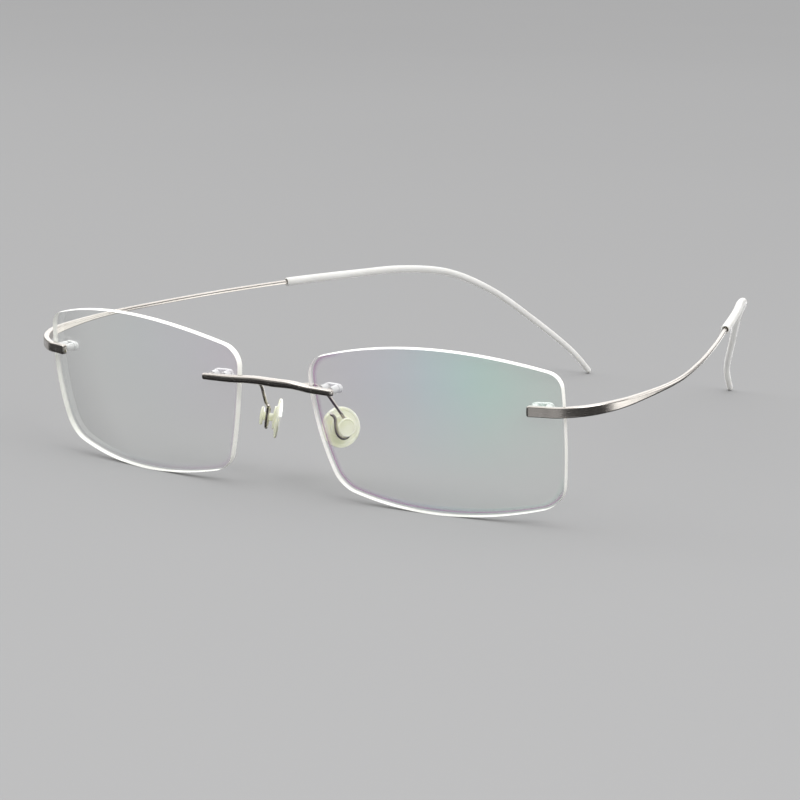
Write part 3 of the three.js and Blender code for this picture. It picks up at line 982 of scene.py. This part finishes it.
def make_pad(name, side):
    """A soft disc on a boss, a neck that the wire hooks round, and a button behind it."""
    corners = [(0.02, PAD_FRONT, 0), *PAD_PROFILE, (0.02, PAD_BACK, 0)]
    profile = filleted(corners)
    centre = Vector(PAD_CENTRE)
    rings = lathe_rings(profile, centre, PAD_AXIS, PAD_UP, 64)
    rings = [list(reversed(ring)) for ring in rings]
    ends = [centre + PAD_FRONT * PAD_AXIS, centre + PAD_BACK * PAD_AXIS]
    points, faces = loft(rings, *ends)
    return crisp(make_piece(name, points, faces, side, finishes=(PAD,)), 60)


def make_pad_arm(name, side):
    """A wire from the back of the bridge that hooks round the pad's neck."""
    neck = Vector(PAD_CENTRE) + HOOK_PLANE * PAD_AXIS
    hook = [neck + back * PAD_ACROSS + up * PAD_UP for back, up in PAD_HOOK]
    route = Route([Vector(p) for p in PAD_ARM_ROUTE] + hook)
    end = route.length

    def radius_at(distance):
        flare = 0.1 * max(0.0, 1 - distance / 0.9) ** 2
        return PAD_WIRE_RADIUS + flare - end_inset(end - distance, 0.28)

    distances = evenly(0, 1.0, 0.12) + evenly(1.3, end - 0.3, 0.32)
    distances += [end - d for d in (0.24, 0.16, 0.09, 0.04, 0.0)]
    rings = wire_rings(route, distances, radius_at)
    points, faces = loft(rings)
    pairs = bar_layers(rings, distances)
    return crisp(make_piece(name, points, faces, side, {"Along": pairs}, (TITANIUM,)), 50)


# ---------- the glasses ----------
bridge = make_bridge("bridge_titanium_bar")
settle(bridge, "titanium", "front", "bridge_bar")

for label, side in SIDES.items():
    lens = make_lens(f"coated_lens_{label}", side)
    settle(lens, "lens", "front", f"lens_{label}")
    for mount, pose in (("bridge", NASAL), ("temple", TEMPORAL)):
        bushing = make_bushing(f"{mount}_clear_bushing_{label}", pose, side)
        settle(bushing, "bushing", "front", f"{mount}_bushing_{label}")
        for number, x in enumerate(PIN_PLACES, 1):
            pin = make_pin(f"{mount}_shouldered_pin_{label}_{number}", pose, x, side)
            settle(pin, "titanium", "front", f"{mount}_pin_{label}_{number}")
    temple = make_temple(f"temple_titanium_{label}", side)
    settle(temple, "titanium", None, f"temple_bar_{label}", f"temple_arm_{label}")
    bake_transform(temple)
    sleeve = make_sleeve(f"tip_sleeve_{label}", side)
    settle(sleeve, "silicone", f"temple_{label}", f"temple_tip_{label}")
    arm = make_pad_arm(f"pad_arm_wire_{label}", side)
    settle(arm, "titanium", "front", f"pad_arm_{label}")
    pad = make_pad(f"nose_pad_moulding_{label}", side)
    settle(pad, "pad", f"pad_{label}", f"nose_pad_{label}")

# ---------- studio ----------
FLOOR_HALF = 6.0
CARD_HEIGHT = 0.0004
floor_mesh = bpy.data.meshes.new("studio_floor")
corners = [(x * FLOOR_HALF, y * FLOOR_HALF, 0) for x, y in ((-1, -1), (1, -1), (1, 1), (-1, 1))]
floor_mesh.from_pydata(corners, [], [(0, 1, 2, 3)])
floor_mesh.materials.append(studio_floor())
floor = bpy.data.objects.new("studio_floor", floor_mesh)
bpy.context.scene.collection.objects.link(floor)


def card_finish(name, colour, glow=0.0):
    """Matt card, or with a glow a lit panel, with a faint mottle."""
    f = Finish(name)
    mottle = f.noise(f.object_points(), 30.0)
    tones = [tuple(share * c for c in colour) for share in (0.95, 1.0)]
    shade = f.ramp(mottle, list(zip((0.3, 0.7), tones)))
    shader = f.node("BsdfPrincipled", Roughness=f.between(mottle, 0.8, 0.9))
    f.tree.links.new(shade, shader.inputs["Base Color"])
    shader.inputs["Specular IOR Level"].default_value = 0.0
    shader.inputs["Emission Color"].default_value = (*colour, 1.0)
    shader.inputs["Emission Strength"].default_value = glow
    return f.finish(shader.outputs["BSDF"])


def gloss_card(name, outline, finish):
    """A card on the floor that only shows in shiny surfaces, as a flag beside a product."""
    mesh = bpy.data.meshes.new(name)
    corners = [(x, y, CARD_HEIGHT) for x, y in outline]
    mesh.from_pydata(corners, [], [tuple(range(len(corners)))])
    mesh.materials.append(finish)
    card = bpy.data.objects.new(name, mesh)
    bpy.context.scene.collection.objects.link(card)
    card.visible_camera = False
    card.visible_diffuse = False
    card.visible_transmission = False
    card.visible_shadow = False


def softbox(name, location, size, radiance, only_gloss=False, target=(0, 0, 0.01)):
    """A rectangular lamp aimed at the glasses, the same brightness whatever its size."""
    light = bpy.data.lights.new(name, "AREA")
    light.shape = "RECTANGLE"
    light.size, light.size_y = size
    light.energy = radiance * math.pi * size[0] * size[1]
    lamp = bpy.data.objects.new(name, light)
    lamp.location = location
    aim = Vector(target) - Vector(location)
    lamp.rotation_euler = aim.to_track_quat("-Z", "Y").to_euler()
    lamp.visible_camera = False
    lamp.visible_diffuse = not only_gloss
    bpy.context.scene.collection.objects.link(lamp)


def broad_light(name, direction, degrees, power):
    """Soft light from a wide round patch of the sky, the same all over the floor."""
    light = bpy.data.lights.new(name, "SUN")
    light.angle = math.radians(degrees)
    light.energy = power
    lamp = bpy.data.objects.new(name, light)
    lamp.rotation_euler = (-Vector(direction)).to_track_quat("-Z", "Y").to_euler()
    bpy.context.scene.collection.objects.link(lamp)


broad_light("overhead_light", (-0.1, 0.1, 1.0), degrees=110, power=3.0)
softbox("left_softbox", (-1.6, -0.5, 0.9), (1.0, 0.9), radiance=2.5)
softbox("right_softbox", (1.4, -0.6, 1.1), (1.0, 1.0), radiance=5.5)
softbox("back_right_softbox", (1.7, 2.6, 0.8), (2.6, 1.6), radiance=1.8, only_gloss=True)
softbox("back_softbox", (-1.6, 2.8, 1.1), (3.6, 1.6), radiance=1.3, only_gloss=True)

FLAG_FINISH = card_finish("black_flag", (0.02, 0.02, 0.02))
REFLECTOR_FINISH = card_finish("lit_panel", (0.8, 0.8, 0.79), glow=1.0)
FLAGS = {  # outlines on the floor, in metres
    "bridge": [(-0.25, -0.35), (0.045, -0.35), (0.045, -0.06), (-0.25, -0.06)],
    "temple": [(0.1, -0.12), (0.3, -0.5), (0.6, -0.5), (0.6, -0.05), (0.1, -0.05)],
    "left_bar": [(0.048, -0.08), (0.098, -0.08), (0.098, 0.08), (0.042, 0.08)],
    "right_bar": [(-0.02, -0.058), (0.046, -0.058), (0.046, -0.025), (-0.02, -0.025)],
}
REFLECTORS = {
    "outer": [(0.12, -0.035), (0.4, -0.035), (0.4, 0.06), (0.12, 0.06)],
    "inner": [(-0.06, -0.012), (0.04, -0.012), (0.04, 0.22), (-0.06, 0.22)],
}
for name, outline in FLAGS.items():
    gloss_card(f"{name}_flag", outline, FLAG_FINISH)
for name, outline in REFLECTORS.items():
    gloss_card(f"{name}_reflector", outline, REFLECTOR_FINISH)

world = bpy.data.worlds.new("studio")
world.use_nodes = True
background = world.node_tree.nodes["Background"]
background.inputs["Color"].default_value = (1.0, 0.995, 0.98, 1.0)
background.inputs["Strength"].default_value = 0.3
bpy.context.scene.world = world
bpy.context.scene.view_settings.view_transform = "Standard"

# ---------- camera ----------
CAMERA_PLACE = (332.68, -424.5, 122.4)  # in the design's frame
CAMERA_YAW = 0.6197
CAMERA_PITCH = 0.1907
CAMERA_ROLL = 0.0007
camera_data = bpy.data.cameras.new("camera")
camera_data.lens = 130.4
camera_data.sensor_width = 36.0
camera_data.clip_start = 0.01
camera_data.clip_end = 100.0
camera = bpy.data.objects.new("camera", camera_data)
camera.location = place(CAMERA_PLACE)
camera.rotation_euler = Euler((math.pi / 2 - CAMERA_PITCH, CAMERA_ROLL, CAMERA_YAW))
bpy.context.scene.collection.objects.link(camera)
bpy.context.scene.camera = camera
